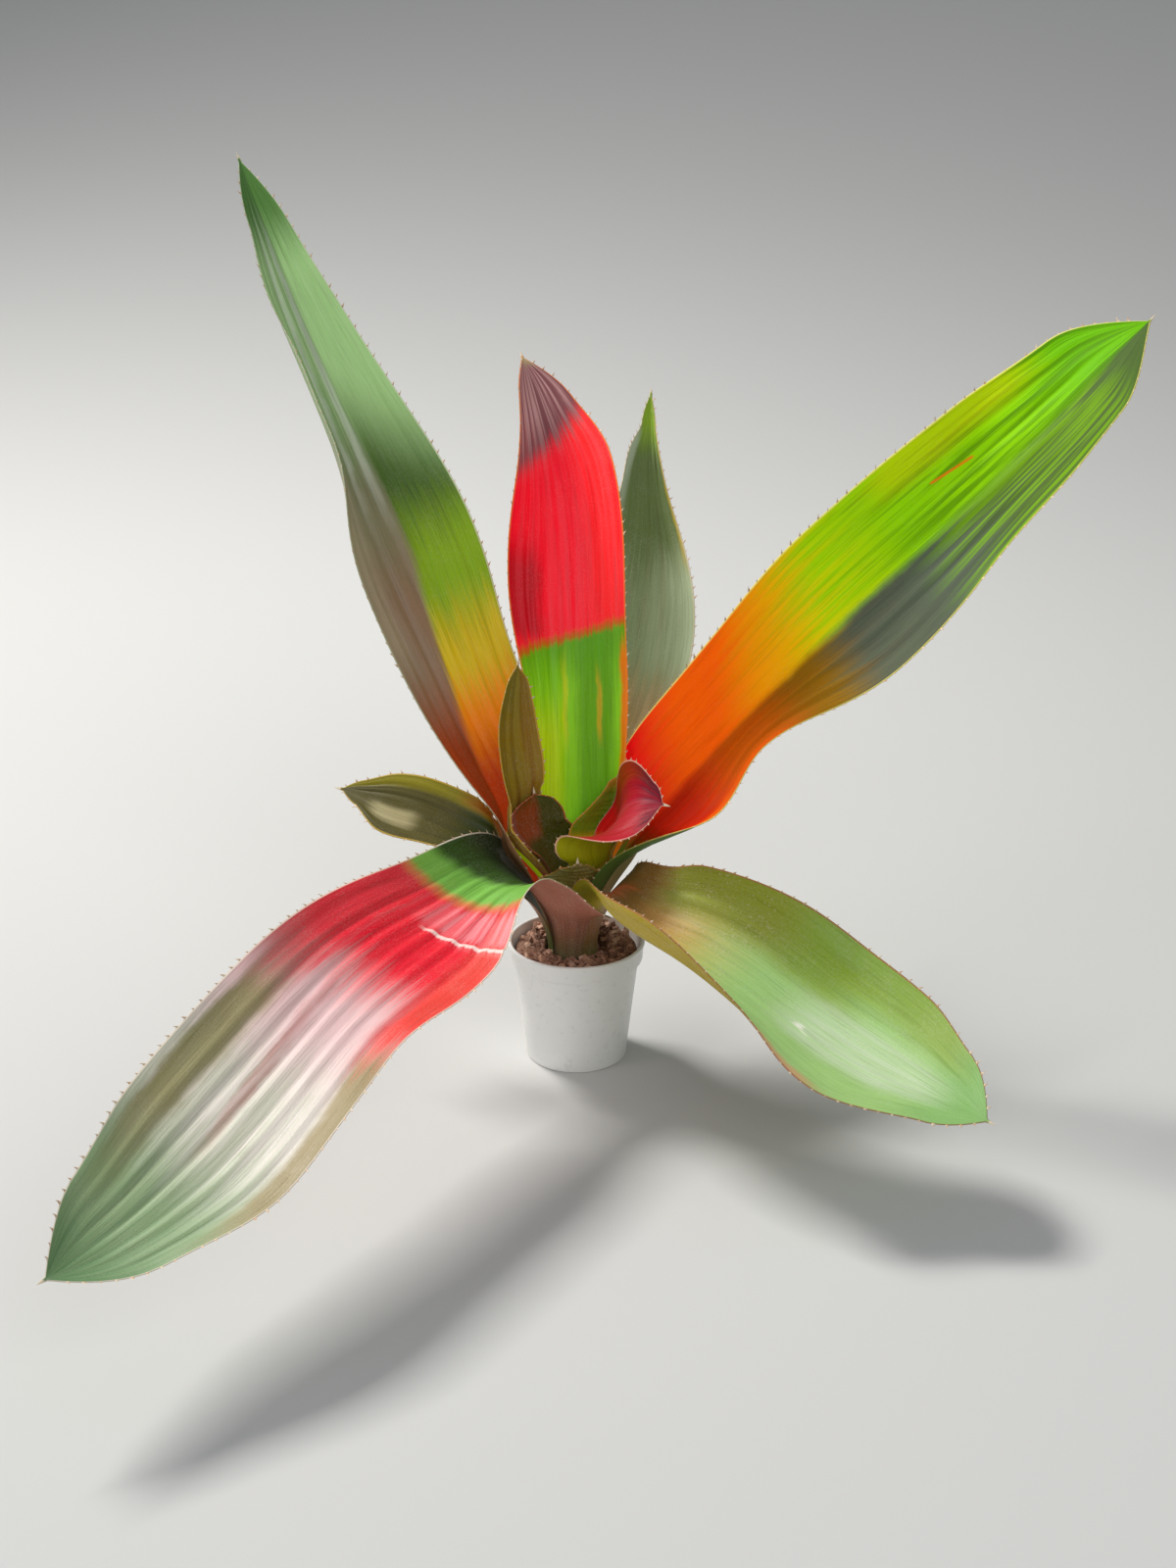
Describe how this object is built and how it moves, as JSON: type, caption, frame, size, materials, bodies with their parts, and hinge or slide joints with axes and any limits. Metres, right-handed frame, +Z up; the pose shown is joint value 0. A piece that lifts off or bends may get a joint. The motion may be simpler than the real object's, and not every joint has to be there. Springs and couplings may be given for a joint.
{
  "type": "neoregelia bromeliad in a pot",
  "caption": "Bromeliad with long spiny-edged strap leaves in green, red and orange, spreading from a small central cup, in coarse bark in a small round white plastic pot.",
  "frame": {"origin": "centre of the pot's flat foot, on the surface that it stands on", "axes": "+Z up along the pot's axis; the plant's front, where the two low front leaves reach out, faces -Y; +X is the plant's right-hand side seen from the front"},
  "size_m": [0.3749, 0.4108, 0.3416],
  "materials": {
    "pot": "satin",
    "potting_bark": "matte",
    "stem": "matte",
    "leaf_inner_pink": "satin",
    "leaf_inner_green": "satin",
    "leaf_inner_arched": "satin",
    "leaf_inner_left": "satin",
    "leaf_inner_front": "satin",
    "leaf_centre_back": "satin",
    "leaf_right": "satin",
    "leaf_back_right": "satin",
    "leaf_back_left": "satin",
    "leaf_front_right": "satin",
    "leaf_left": "satin",
    "leaf_front_left": "satin"
  },
  "bodies": {
    "root": {"pot": "pot", "potting_bark": "potting_bark", "stem": "stem", "leaf_inner_pink": "leaf_inner_pink", "leaf_inner_green": "leaf_inner_green", "leaf_inner_arched": "leaf_inner_arched", "leaf_inner_left": "leaf_inner_left", "leaf_inner_front": "leaf_inner_front", "leaf_centre_back": "leaf_centre_back", "leaf_right": "leaf_right", "leaf_back_right": "leaf_back_right", "leaf_back_left": "leaf_back_left", "leaf_front_right": "leaf_front_right", "leaf_left": "leaf_left", "leaf_front_left": "leaf_front_left"}
  },
  "joints": []
}
